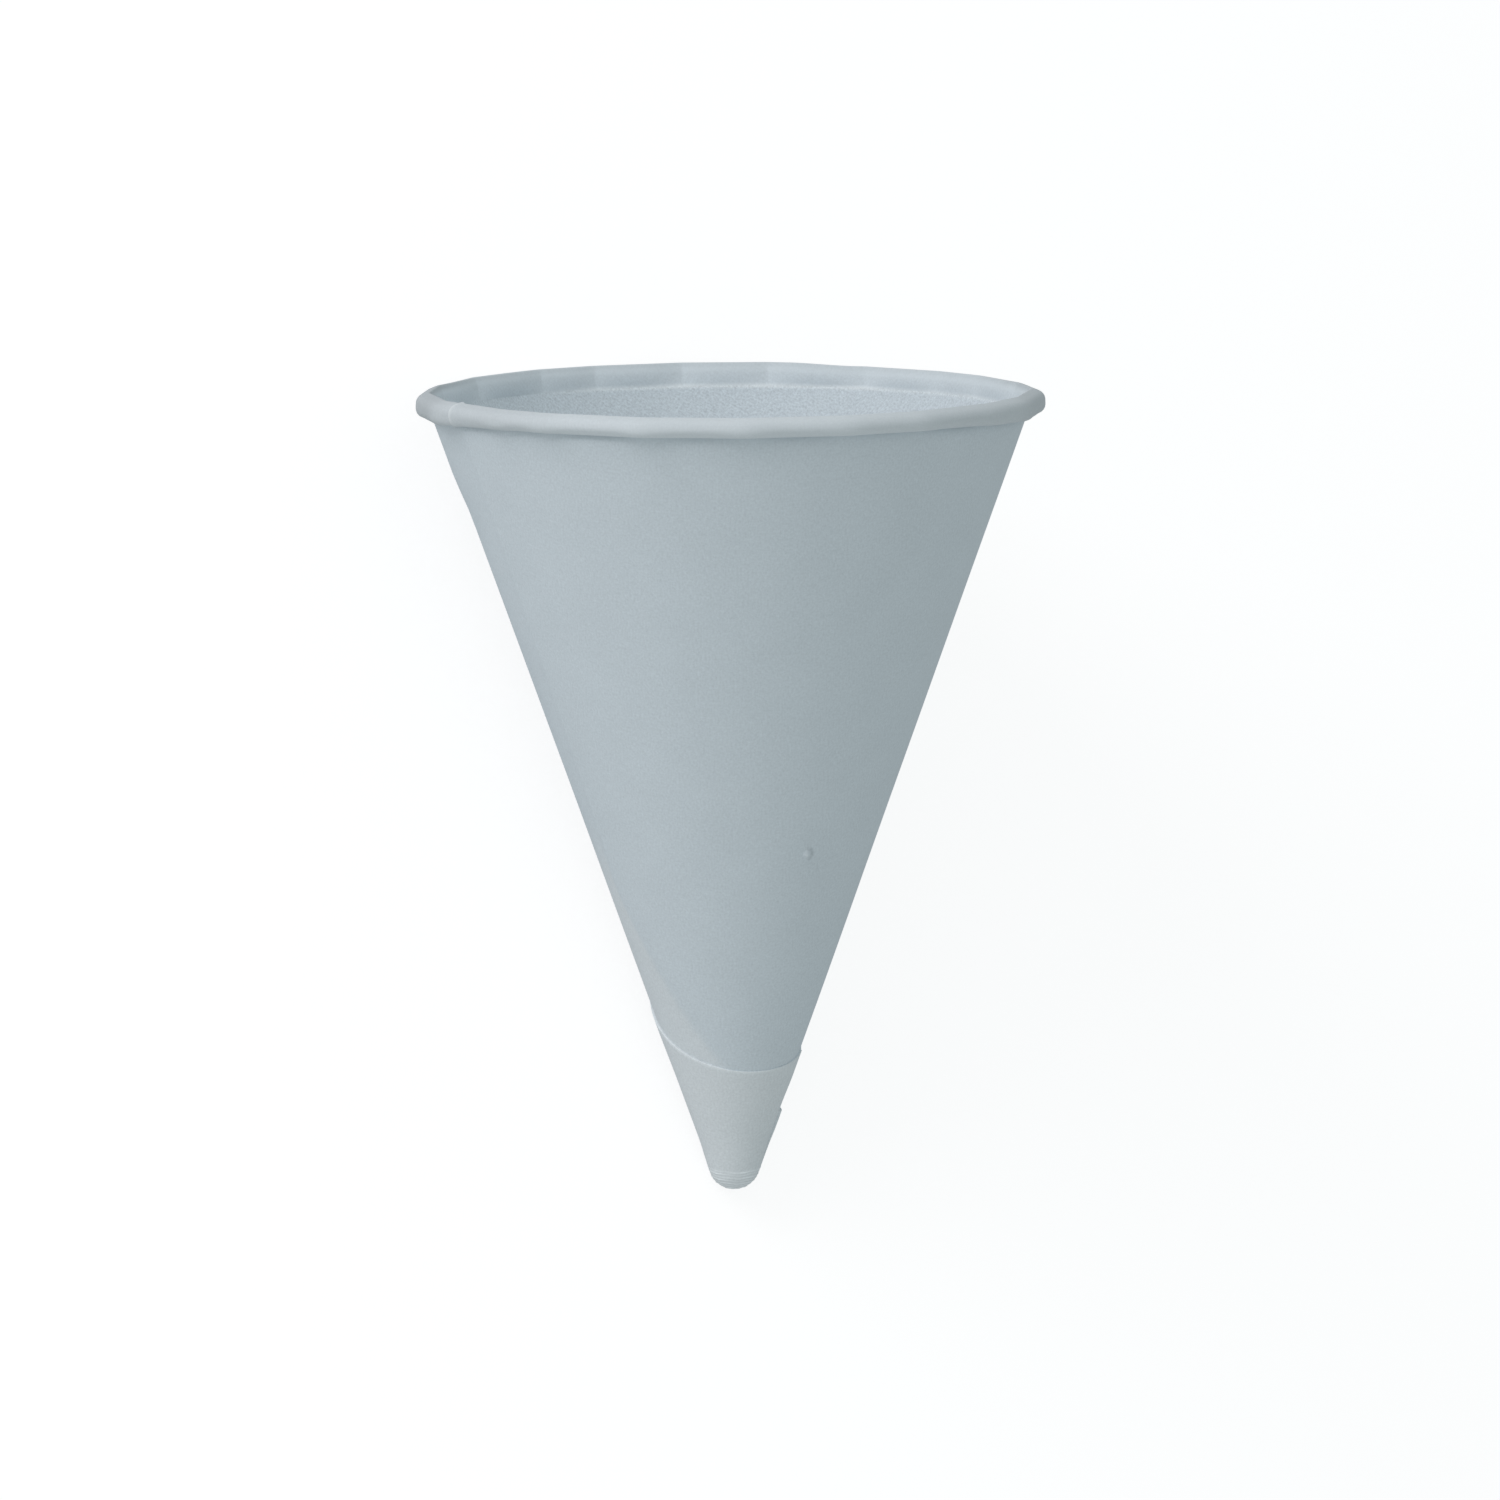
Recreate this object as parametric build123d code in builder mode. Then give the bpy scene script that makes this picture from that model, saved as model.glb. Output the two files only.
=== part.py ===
"""A cone paper cup, lying on its side as it comes to rest.

One sheet of paper is wound about one and two thirds turns into a cone with a closed,
rounded tip. The sheet's straight end cut runs round the cone as the wrap edge. The
mouth is rolled outward into a bead that is made of flats, and the band of wall under
the bead blends those flats into the round wall, down to a crease.

The cup is drawn upright, point down, about the Z axis, with the point that its inner
wall aims at on the origin. Azimuths are in degrees from the front (-Y), positive
towards +X. Layers are counted in sheets, outward from the cup's inner face. At the end
the cup is laid down with its mouth towards +Y and its front up and to the left.
"""

import os
from math import acos, asin, atan2, ceil, cos, degrees, hypot, pi, radians, sin, tan

from build123d import *

os.makedirs("parts", exist_ok=True)

# The sheet, and the cone that it is wound into
sheet = 0.13
wall_angle = 19.4
tip_radius = 2.32
start_azimuth = -61.5

# The rolled rim: its greatest diameter is across the ridges between its flats
rim_diameter = 73.2
bead_diameter = 2.13
roll_gap = 0.12
roll_overlap = 12
flats = 21
first_ridge = 1.2
band_height = 2.65
band_draw = 0.39

# The straight end cut of the sheet: its nearest point to the cone's point, and its end
end_cut_distance = 21.4
end_cut_azimuth = 28
tail_azimuth = 86

# The free corner of the tail, which stands off the wall behind the right side
corner_height = 14.1
corner_azimuth = 83
corner_span = 62
corner_lift = 0.2

# The flat that the cup lies on, counted from the first ridge
rest_flat = 12

# Layers of the wall: an added turn bites half a sheet into what it is glued to
one_turn = 1
two_turns = 2
three_turns = 3
bite = 0.5

slope = radians(wall_angle)
flat_angle = 360 / flats
half_flat = flat_angle / 2
rest_azimuth = first_ridge + (rest_flat + 0.5) * flat_angle

# The bead, in a section through the middle of a flat. A flat band of paper is as long
# as the round band that it is pressed from, and the rolling draws that band in a little
# from the line of the wall.
bead_radius = bead_diameter / 2
inner_roll_radius = bead_radius - (two_turns * sheet + roll_gap) / 2
bead_middle = rim_diameter / 2 * cos(radians(half_flat)) - bead_radius
curl_radius = bead_middle - bead_radius * cos(slope)
round_radius = curl_radius * tan(radians(half_flat)) / radians(half_flat) + band_draw
bead_height = round_radius / tan(slope) - bead_radius * sin(slope)
crease_height = bead_height + bead_radius - band_height

# The centre of the rounded tip, and where the end cut reaches the rim behind the cup
tip_height = tip_radius / sin(slope)
rim_slant = bead_height / cos(slope)
seam_azimuth = end_cut_azimuth - degrees(acos(end_cut_distance / rim_slant) / sin(slope))


def radial_plane(azimuth):
    """The upright plane through the axis whose X points outward at an azimuth."""
    turn = radians(azimuth)
    return Plane(
        origin=(0, 0, 0),
        x_dir=(sin(turn), -cos(turn), 0),
        z_dir=(-cos(turn), -sin(turn), 0),
    )


def wall_point(height, layers):
    """A point of the round wall at a height, so many sheets out."""
    return (height * tan(slope) + layers * sheet / cos(slope), height)


def slant_point(slant, out):
    """A point so far up the wall's inner face and so far out from it."""
    return (slant * sin(slope) + out * cos(slope), slant * cos(slope) - out * sin(slope))


def tip_point(layers, turn):
    """A point of the rounded tip, by its turn from straight down."""
    radius = tip_radius + layers * sheet
    return (radius * sin(turn), tip_height - radius * cos(turn))


def wall_section(inner, outer):
    """The round wall from the tip up to the crease, between two layers."""
    last_turn = pi / 2 - slope
    Line(tip_point(inner, 0), tip_point(outer, 0))
    ThreePointArc(tip_point(outer, 0), tip_point(outer, last_turn / 2), tip_point(outer, last_turn))
    Polyline(
        tip_point(outer, last_turn),
        wall_point(crease_height, outer),
        wall_point(crease_height, inner),
        tip_point(inner, last_turn),
    )
    ThreePointArc(tip_point(inner, last_turn), tip_point(inner, last_turn / 2), tip_point(inner, 0))


def roll_point(azimuth, layers, turn):
    """A point of the rolled bead, by its turn in degrees round the roll.

    The roll starts at the wall, goes over the top and down, and its second half turn is
    tighter, so that it ends inside the first.
    """
    from_ridge = (azimuth - first_ridge) % flat_angle
    middle = bead_middle / cos(radians(from_ridge - half_flat))
    height = bead_height
    radius = bead_radius
    if turn > 180:
        middle += (bead_radius - inner_roll_radius) * cos(slope)
        height -= (bead_radius - inner_roll_radius) * sin(slope)
        radius = inner_roll_radius
    angle = pi - slope - radians(turn)
    reach = radius - layers * sheet
    return (middle + reach * cos(angle), height + reach * sin(angle))


def rim_section(azimuth, inner, outer):
    """The band above the crease and the rolled bead, as one strip between two layers."""
    last_turn = 360 + roll_overlap
    Polyline(
        roll_point(azimuth, outer, 0),
        wall_point(crease_height, outer),
        wall_point(crease_height, inner),
        roll_point(azimuth, inner, 0),
    )
    for layers in (inner, outer):
        for first, last in ((0, 180), (180, last_turn)):
            ThreePointArc(
                roll_point(azimuth, layers, first),
                roll_point(azimuth, layers, (first + last) / 2),
                roll_point(azimuth, layers, last),
            )
    Line(roll_point(azimuth, inner, last_turn), roll_point(azimuth, outer, last_turn))


def rim_stations(first, last):
    """Azimuths from first to last, with each ridge and each flat's middle between them."""
    apart = half_flat / 10
    stations = [first]
    station = first_ridge + ceil((first - first_ridge) / half_flat) * half_flat
    while station < last - apart:
        if station > first + apart:
            stations.append(station)
        station += half_flat
    return [*stations, last]


def past_end_cut(first, last):
    """A block that takes away what lies past the sheet's end cut, between two azimuths.

    Rolled out flat, the cut is a straight line. On the cone it is this curve.
    """
    block_step = 12
    clear = 10 * sheet
    past_rim = 2 * rim_slant
    steps = ceil((last - first) / block_step)
    with BuildPart() as block:
        for index in range(steps + 1):
            azimuth = first + (last - first) * index / steps
            cut = end_cut_distance / cos(radians(azimuth - end_cut_azimuth) * sin(slope))
            with BuildSketch(radial_plane(azimuth)):
                with BuildLine():
                    Polyline(
                        slant_point(cut, -clear),
                        slant_point(cut, clear),
                        slant_point(past_rim, clear),
                        slant_point(past_rim, -clear),
                        close=True,
                    )
                make_face()
        loft()
    return block.part


# The inner turn: one sheet all the way round, closed at the tip
with BuildPart() as inner_turn:
    with BuildSketch(radial_plane(start_azimuth)):
        with BuildLine():
            wall_section(0, one_turn)
        make_face()
    revolve(axis=Axis.Z)

# The outer turn. Behind the cup its end cut comes down from the rim to the left side.
cut_margin = 6
with BuildPart() as outer_turn:
    with BuildSketch(radial_plane(start_azimuth)):
        with BuildLine():
            wall_section(bite, two_turns)
        make_face()
    revolve(axis=Axis.Z)
    add(past_end_cut(seam_azimuth - cut_margin, start_azimuth), mode=Mode.SUBTRACT)

# The tail of the sheet, which passes the start once more, low on the front
with BuildPart() as tail:
    with BuildSketch(radial_plane(start_azimuth)):
        with BuildLine():
            wall_section(one_turn + bite, three_turns)
        make_face()
    revolve(axis=Axis.Z, revolution_arc=tail_azimuth - start_azimuth)
    add(past_end_cut(start_azimuth - cut_margin, tail_azimuth + cut_margin), mode=Mode.SUBTRACT)

# The free corner of the tail
with BuildPart() as free_corner:
    with BuildSketch(radial_plane(corner_azimuth)):
        with BuildLine():
            Polyline(
                wall_point(corner_height, one_turn + bite),
                wall_point(corner_height, three_turns + corner_lift / sheet),
                wall_point(corner_height / 3, three_turns + corner_lift / sheet),
                wall_point(corner_height / 3, one_turn + bite),
                close=True,
            )
        make_face()
    revolve(axis=Axis.Z, revolution_arc=corner_span)

# The rim where the sheet is double, from its start round to the seam at the back
seam_end = seam_azimuth + 360
with BuildPart() as double_rim:
    for azimuth in rim_stations(start_azimuth, seam_end):
        with BuildSketch(radial_plane(azimuth)):
            with BuildLine():
                rim_section(azimuth, 0, two_turns)
            make_face()
    loft(ruled=True)

# The rim where it is single. In its last stretch it climbs over the start of the sheet.
rim_end = start_azimuth + 360
with BuildPart() as single_rim:
    for azimuth in rim_stations(seam_end, rim_end):
        climb = one_turn if azimuth == rim_end else 0
        with BuildSketch(radial_plane(azimuth)):
            with BuildLine():
                rim_section(azimuth, climb, climb + one_turn)
            make_face()
    loft(ruled=True)

with BuildPart() as rim:
    add(double_rim.part)
    add(single_rim.part)

with BuildPart() as upright_cup:
    for wall in (inner_turn, outer_turn, tail, free_corner):
        add(wall.part)
    add(rim.part)

# The cup lies on one flat and on its tip: the floor touches both the bead's circle and
# the tip's circle. Its heavier side, where the sheet is double, is above that flat.
tip_reach = tip_radius + two_turns * sheet
between = hypot(bead_middle, bead_height - tip_height)
lean = atan2(bead_middle, bead_height - tip_height) - asin((tip_reach - bead_radius) / between)
turned_cup = upright_cup.part.rotate(Axis.Z, 180 - rest_azimuth)
lying_cup = turned_cup.rotate(Axis.X, degrees(lean) - 90)
extent = lying_cup.bounding_box()
with BuildPart() as cone_cup:
    with Locations((-extent.center().X, -extent.center().Y, -extent.min.Z)):
        add(lying_cup)

cone_cup.part.label = "cone_cup"
export_step(cone_cup.part, "parts/cone_cup.step")

size = cone_cup.part.bounding_box().size
print(f"size {size.X:.2f} x {size.Y:.2f} x {size.Z:.2f} mm")
print(f"volume {cone_cup.part.volume:.1f} mm3 in {len(cone_cup.part.solids())} solid")
print(f"leans {degrees(lean):.2f} degrees from the floor, centre of mass {cone_cup.part.center()}")
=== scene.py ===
# %% [markdown]
# # A cone paper cup, lying on its side
#
# The real cup is one sheet of thin, pale paper. It is wound into a cone, about 1.6 turns at
# the rim and 2.4 at the tip, and glued to itself. The tip is closed and rounded, and the
# mouth is rolled outward into a bead. The cup can't stand, so it lies on one flat of its rim
# and on its tip.
#
# The solid cup from the workshop is the frame: it gives the place, the size and the way the
# cup lies. This lesson makes the paper itself around that frame, with its cut edges, its
# rolled rim and its grain. A reader can run it cell by cell.

from math import acos, asin, atan2, cos, degrees, hypot, pi, radians, sin, tan

import bpy
import numpy as np
from mathutils import Matrix, Vector


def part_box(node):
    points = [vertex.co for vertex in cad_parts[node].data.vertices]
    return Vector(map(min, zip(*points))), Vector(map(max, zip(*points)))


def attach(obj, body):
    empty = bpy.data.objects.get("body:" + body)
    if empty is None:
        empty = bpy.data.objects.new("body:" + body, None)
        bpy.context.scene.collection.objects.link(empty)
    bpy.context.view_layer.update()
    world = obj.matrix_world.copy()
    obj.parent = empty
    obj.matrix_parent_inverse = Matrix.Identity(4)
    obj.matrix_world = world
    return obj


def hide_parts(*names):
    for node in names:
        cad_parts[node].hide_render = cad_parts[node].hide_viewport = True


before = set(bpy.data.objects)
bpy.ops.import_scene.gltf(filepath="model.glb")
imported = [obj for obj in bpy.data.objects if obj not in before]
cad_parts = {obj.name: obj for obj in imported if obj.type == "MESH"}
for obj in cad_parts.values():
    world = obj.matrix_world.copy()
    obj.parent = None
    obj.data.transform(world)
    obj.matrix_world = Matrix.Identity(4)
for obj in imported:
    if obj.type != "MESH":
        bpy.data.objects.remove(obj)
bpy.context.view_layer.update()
cup_low, cup_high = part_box("cone_cup")
print("the solid cup measures", [round(x, 4) for x in cup_high - cup_low], "m")

# %% [markdown]
# ## The sizes of the sheet and of the cone
#
# Lengths are in millimetres while the cup is made, because a maker thinks in them, and
# angles are in degrees. The cup is made upright, point down, about the Z axis. An azimuth
# is counted from the front, positive to the right, and layers are counted in sheets,
# outward from the inner face. A slant height is a distance up the wall from the point at
# which the inner face aims.

# %% Sizes
mm = 0.001
sheet = 0.13
wall_angle = 19.4
tip_radius = 2.32
start_azimuth = -61.5

rim_diameter = 73.2
bead_diameter = 2.13
roll_gap = 0.12
roll_overlap = 12
flats = 21
first_ridge = 1.2
band_height = 2.65
band_draw = 0.39
rest_flat = 12

end_cut_distance = 21.4
end_cut_azimuth = 28
tail_azimuth = 86

slope = radians(wall_angle)
flat_angle = 360 / flats
half_flat = flat_angle / 2
bead_radius = bead_diameter / 2
inner_roll_radius = bead_radius - (2 * sheet + roll_gap) / 2
bead_middle = rim_diameter / 2 * cos(radians(half_flat)) - bead_radius
curl_radius = bead_middle - bead_radius * cos(slope)
round_radius = curl_radius * tan(radians(half_flat)) / radians(half_flat) + band_draw
bead_height = round_radius / tan(slope) - bead_radius * sin(slope)
crease_height = bead_height + bead_radius - band_height
crease_slant = crease_height / cos(slope)
rim_slant = bead_height / cos(slope)
tip_height = tip_radius / sin(slope)
tip_slant = tip_height * cos(slope)
print(f"the wall is {crease_slant:.1f} mm long on the slant, from its aim point to the crease")

# %% [markdown]
# ## Laying the cup down
#
# One matrix turns the upright cup until its resting flat is at the back, lets it fall
# onto that flat, and moves it onto the floor under its place in the frame. The rounded tip
# and the rim both touch the floor, and that gives the angle at which the cup leans. The
# same matrix later carries the photographer's view over to the lying cup.

# %% The matrix from the upright cup to the lying one
rest_azimuth = first_ridge + (rest_flat + 0.5) * flat_angle
tip_reach = tip_radius + 2 * sheet
tip_end = tip_radius + 3 * sheet
between = hypot(bead_middle, bead_height - tip_height)
lean = atan2(bead_middle, bead_height - tip_height) - asin((tip_reach - bead_radius) / between)
fall = Matrix.Rotation(lean - pi / 2, 4, "X") @ Matrix.Rotation(radians(180 - rest_azimuth), 4, "Z")
tip_centre = fall @ Vector((0, 0, tip_height))
on_floor = Matrix.Translation((0, cup_low.y / mm + tip_end - tip_centre.y, tip_reach - tip_centre.z))
lay_down = Matrix.Scale(mm, 4) @ on_floor @ fall
print(f"the cup leans {degrees(lean):.2f} degrees up from the floor")

# %% [markdown]
# ## Ridges and columns
#
# The rolled rim isn't a smooth ring. The tool that rolls it presses it into flats, with a
# soft ridge between two of them, and no two flats are quite alike. The ridges that can be
# seen are set where they are on the real cup, by small shifts from even spacing.
#
# The mesh is a grid: columns run down the cup at fixed azimuths, and rings run round it.
# The columns crowd a little at the ridges. Two of them stand close together at each cut
# edge that runs down the wall, so that the edge is crisp, and there are more of them beside
# the start of the sheet and across the one pimple of the front.

# %% Ridges and columns
first_index = -3
ridge_shifts = {
    -3: 3.4, -2: -2.6, -1: 0.3, 0: 1.4, 1: 2.8, 2: 1.5, 3: 3.8,
    8: -4.6, 9: -3.8, 10: 0.1, 11: 0.4, 12: 2.05, 13: -2.05,
}
columns_in_flat = 20
crowding = 0.4
edge_gap = 0.02
least_gap = 0.2
beside_start = np.array([0.25, 0.5, 0.8, 1.2, 1.7])
corner_azimuth = 83
pimple_azimuth = 29.6
pimple_reach = 3.8
pimple_columns = 27


def ridge_azimuth(k):
    """Azimuth of a ridge, counted from the front. The count goes on past a whole turn."""
    own = (k - first_index) % flats + first_index
    return first_ridge + k * flat_angle + ridge_shifts.get(own, 0)


ridges = np.array([ridge_azimuth(k) for k in range(first_index - 2, first_index + flats + 2)])
evenly = np.arange(columns_in_flat) / columns_in_flat
crowded = evenly - crowding * np.sin(2 * pi * evenly) / (2 * pi)
column = (ridges[:-1, None] + np.diff(ridges)[:, None] * crowded[None, :]).ravel()

last_azimuth = start_azimuth + 360 - edge_gap
clear = beside_start[-1] + least_gap
column = column[(column > start_azimuth + clear) & (column < last_azimuth - clear)]
column = np.concatenate((
    column, start_azimuth + beside_start, last_azimuth - beside_start, (start_azimuth, last_azimuth),
))
for edge in (corner_azimuth, tail_azimuth):
    column = column[abs(column - edge) > least_gap]
    column = np.append(column, (edge - edge_gap / 2, edge + edge_gap / 2))
column = column[abs(column - pimple_azimuth) > pimple_reach]
across_pimple = np.linspace(-pimple_reach, pimple_reach, pimple_columns)
column = np.sort(np.append(column, pimple_azimuth + across_pimple))
print(len(column), "columns round the cup")

# %% [markdown]
# ## Where the sheet is one, two or three deep
#
# Rolled out flat, the sheet's cuts are straight lines, and on the cone they become curves:
# the end cut comes down from the rim behind the cup, runs round the left side and crosses
# the front as a shallow arc. Below it the sheet lies one layer deeper.
#
# The start of the sheet is under the outer turn. It runs straight down from the rim, and
# low on the wall it is cut away on a slant. The outer turn climbs over it in a soft ramp,
# and stands up a little more just past its edge, as paper does over anything under it.

# %% Cuts and layers
start_cut_distance = 13.1
start_cut_azimuth = 158
ramp_width = 1.5
tent_width = 1.0
tent_layers = 0.3
under_crease = 0.6
climb_azimuth = -120
climb_span = 80
seam_azimuth = end_cut_azimuth + 360 - degrees(acos(end_cut_distance / rim_slant) / sin(slope))


def ease(x):
    """A soft step from 0 to 1 as x goes from 0 to 1."""
    x = np.clip(x, 0, 1)
    return x * x * (3 - 2 * x)


def bump(x):
    """A smooth hill, 1 at 0 and 0 beyond 1 on either side."""
    return ease(1 - np.abs(x))


def within(x, start, rise, end, fall):
    """1 from a start to an end, with a soft rise after the one and a soft fall before the other."""
    return ease((x - start) / rise) * ease((end - x) / fall)


def signed(azimuth):
    """The same azimuth, from -180 to 180."""
    return (azimuth + 180) % 360 - 180


def end_cut(azimuth):
    """Slant height of the end cut, and of a plain ring between its two ends."""
    wound = np.where(azimuth > seam_azimuth, azimuth - 360, azimuth)
    wound = np.where((azimuth > tail_azimuth) & (azimuth < seam_azimuth), tail_azimuth, wound)
    cut = end_cut_distance / np.cos(np.radians(wound - end_cut_azimuth) * sin(slope))
    top = crease_slant - under_crease
    share = (azimuth - tail_azimuth) / (seam_azimuth - tail_azimuth)
    between_ends = cut + (top - cut) * np.clip(share, 0, 1) ** 3
    return np.where(azimuth > seam_azimuth, np.minimum(cut, top), np.minimum(between_ends, top))


def past_start(azimuth, slant):
    """How far a place is to the right of the start of the sheet, in mm along the wall."""
    reach = np.clip(start_cut_distance / np.maximum(slant, start_cut_distance), 0, 1)
    slanted_cut = start_cut_azimuth - np.degrees(np.arccos(reach)) / sin(slope)
    start_line = np.maximum(start_azimuth, slanted_cut)
    radius = np.maximum(slant, start_cut_distance) * sin(slope)
    return np.radians(signed(azimuth) - start_line) * radius


def over_start(azimuth, slant):
    """How far the outer turn has climbed over the start of the sheet, from 0 to 1."""
    return ease(past_start(azimuth, slant) / ramp_width + 1)


def layers_above_cut(azimuth, slant):
    """Layers out to the outer face, above the end cut."""
    left = signed(azimuth) < 0
    tent = tent_layers * bump(past_start(azimuth, slant) / tent_width)
    climbed = np.where(left, over_start(azimuth, slant) + tent, 1)
    return np.where((azimuth > seam_azimuth) & ~left, 1, 1 + climbed)


def layers_below_cut(azimuth):
    """Layers out to the outer face, below the end cut."""
    climbed = ease((signed(azimuth) - climb_azimuth) / climb_span)
    return np.where(azimuth > tail_azimuth, np.where(signed(azimuth) < 0, 2 + climbed, 2), 3)


print(f"the end cut leaves the rim at azimuth {seam_azimuth:.1f} and crosses the front at "
      f"slant {float(end_cut(np.array([0.0]))[0]):.1f} mm")

# %% [markdown]
# ## The wall
#
# A point of the wall is given by its slant height and by how far out it is. Near the tip
# the cone gives way to a small sphere, so the slant height there becomes a turn round it.

# %% Points of the wall
def wall_ring(slant, out):
    """Radius and height of wall points, by slant height and distance out from the inner face."""
    slant = slant + 0 * column
    cone = (slant * sin(slope) + out * cos(slope), slant * cos(slope) - out * sin(slope))
    turn = slant / tip_slant * (pi / 2 - slope)
    reach = tip_radius + out
    ball = (reach * np.sin(turn), tip_height - reach * np.cos(turn))
    on_cone = slant >= tip_slant
    return np.where(on_cone, cone[0], ball[0]), np.where(on_cone, cone[1], ball[1])


print(f"the rounded tip gives way to the cone at slant {tip_slant:.1f} mm")

# %% [markdown]
# ## The rolled rim
#
# The roll starts at the top of the wall, goes over and down, and its second half turn is
# tighter, so that it ends inside the first. Each flat is a chord between two ridges, and a
# narrow flat has its ridges nearer to the axis, so that none reaches further out than the
# one that the cup lies on. The ridges are soft on the bead and tighter on the band below it,
# where the tool pressed the paper. Inside, the pressed flats run right up to a square corner.
# In the middle of each flat the bead is tucked in a little under its widest line, which gives
# its lower side the scallops that the light shows. At both sides of the cup the rim droops a
# little and the roll is slacker, so it hangs lower there.
#
# The start of the sheet is rolled outside, so its cut edge shows on the bead. It isn't quite
# glued down there: it stands up in a small lip, with a groove beside it.

# %% Sizes of the rim
bead_ridge_width = 2.6
band_ridge_width = 0.7
soft_turn = 50
soft_span = 50
corner_power = 9
corner_turn = 90

tuck = 0.16
tuck_turn = 210
tuck_reach = 55
beside_ridge = 6
slack = 0.62
slack_turn = 240
slack_reach = 80
slack_azimuth = 76
slack_span = 38
right_droop = 0.27
right_droop_reach = (85, 20, 168, 14)
left_droop = 0.15
left_droop_azimuth = -108
left_droop_span = 25

lip_layers = 1.3
lip_width = 1.3
lip_reach = (0, 50, 280, 60)
groove_layers = 0.8
groove_width = 0.9
flare_out = 0.32
flare_azimuth = -84
flare_span = 28
flare_slant = 90
flare_rise = 6
print(f"the bead is {bead_diameter} mm thick, and {bead_diameter + slack:.2f} mm where it is slack")

# %% The flats of the rim
half_angles = np.radians(np.diff(ridges)) / 2
narrower = np.minimum(np.minimum(half_angles[:-1], half_angles[1:]), radians(half_flat))
ridge_reach = np.pad(bead_middle / np.cos(narrower), 1, mode="edge")
ridge_corner = np.pad((np.tan(half_angles[:-1]) + np.tan(half_angles[1:])) / 2, 1, mode="edge")
flat_index = np.searchsorted(ridges, column, side="right") - 1
from_ridge = np.radians(column - ridges[flat_index])
to_ridge = np.radians(ridges[flat_index + 1] - column)


def flats_radius(ridge_width):
    """Radius of the flats at each column, with the corner between two of them rounded."""
    low, high = ridge_reach[flat_index], ridge_reach[flat_index + 1]
    chord = low * high * np.sin(from_ridge + to_ridge)
    chord = chord / (low * np.sin(from_ridge) + high * np.sin(to_ridge))
    corner = np.where(from_ridge < to_ridge, ridge_corner[flat_index], ridge_corner[flat_index + 1])
    inside = np.clip(radians(ridge_width) - np.minimum(from_ridge, to_ridge), 0, None)
    return chord - chord * corner * inside ** 2 / (2 * radians(ridge_width))


def near_ridge(width):
    """1 at a ridge, falling to 0 within a width on each side."""
    return bump(np.degrees(np.minimum(from_ridge, to_ridge)) / width)


soft_flats = flats_radius(bead_ridge_width)
tight_flats = flats_radius(band_ridge_width)
face_in = np.where(column > 180, over_start(column, rim_slant), 0)
face_out = np.where(column > seam_azimuth, 1 + face_in, 2)
past_edge = np.clip(column - start_azimuth, 0, None)
lip = bump(past_edge / lip_width)
groove = bump((last_azimuth - column) / groove_width)
side = signed(column)
slack_sides = bump((abs(side) - slack_azimuth) / slack_span)
droop = right_droop * within(side, *right_droop_reach)
droop = droop + left_droop * bump((side - left_droop_azimuth) / left_droop_span)
print(f"the flats lie {soft_flats.min():.2f} to {soft_flats.max():.2f} mm from the axis")


# %% The roll and the band
def roll_ring(turn, layers):
    """Radius and height of the roll at a turn in degrees, so many layers in."""
    softened = ease((turn - soft_turn) / soft_span)
    middle = tight_flats + (soft_flats - tight_flats) * softened
    radius = bead_radius
    height = bead_height
    if turn > 180:
        middle = middle + (bead_radius - inner_roll_radius) * cos(slope)
        height = height - (bead_radius - inner_roll_radius) * sin(slope)
        radius = inner_roll_radius
    else:
        local = radians(min(turn, corner_turn))
        square = (cos(local) ** corner_power + sin(local) ** corner_power) ** (-1 / corner_power)
        radius = radius * square
    angle = pi - slope - radians(turn)
    reach = radius - layers * sheet
    return middle + reach * cos(angle), height - droop + reach * sin(angle)


def bead_layers(turn):
    """Layers in to the outside of the bead, with its lip, its scallops and its slack sides."""
    standing = (lip_layers * lip - groove_layers * groove) * within(turn, *lip_reach)
    tucked = tuck / sheet * (1 - near_ridge(beside_ridge)) * bump((turn - tuck_turn) / tuck_reach)
    hanging = slack / sheet * slack_sides * bump((turn - slack_turn) / slack_reach)
    return face_in - standing + tucked - hanging


def flare(slant):
    """How far the wall flares under the left end of the rim, in mm."""
    beside = bump((side - flare_azimuth) / flare_span)
    return flare_out * beside * ease((slant - flare_slant) / flare_rise)


def band_ring(share, layers):
    """The band between the crease, at share 0, and the start of the roll, at share 1."""
    foot_radius, foot_height = wall_ring(crease_slant, layers * sheet + flare(crease_slant))
    top_radius, top_height = roll_ring(0, layers)
    shape = tight_flats - tight_flats.mean()
    pressed = 1 - (1 - share) ** 2
    radius = foot_radius + (top_radius - shape - foot_radius) * share + shape * pressed
    return radius, foot_height + (top_height - foot_height) * share


print(f"the rim droops by up to {droop.max():.2f} mm beside its ends")

# %% [markdown]
# ## Small marks
#
# Paper shows how it was handled. A pimple stands on the right of the front, with painted shade
# round its far side and a painted highlight on its crest. The wall under the left end of the rim
# flares a little, the closed tip has fine cross wrinkles, the tail lifts a little at both sides,
# and its corner stands free behind the right one. The sheets don't lie quite close low on the
# left and where the tip begins, and the wall itself is never a perfect cone, so it gets a very
# slight unevenness as well. On the side that the cup rests on, its weight presses the sheets
# together and the wrinkles flat.

# %% Sizes of the marks
pimple_slant = 50.3
pimple_lean = 15
pimple_height = 0.24
pimple_near_reach = 0.42
pimple_more_reach = 0.6
pimple_long_side = 120
pimple_long_span = 90
pimple_shade_distance = 0.72
pimple_shade_width = 0.5
pimple_shade_strength = 0.16
pimple_shade_side = 95
pimple_shade_span = 35
wrinkle_gap = 0.38
wrinkle_depth = 0.07
wrinkled_height = 3.0
wrinkle_fade = 0.2
wave_depth = 0.018
wave_reach = (tip_slant, 25, crease_slant, 6)
print(f"the pimple stands {pimple_height} mm high, {pimple_slant} mm up the wall")

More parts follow.
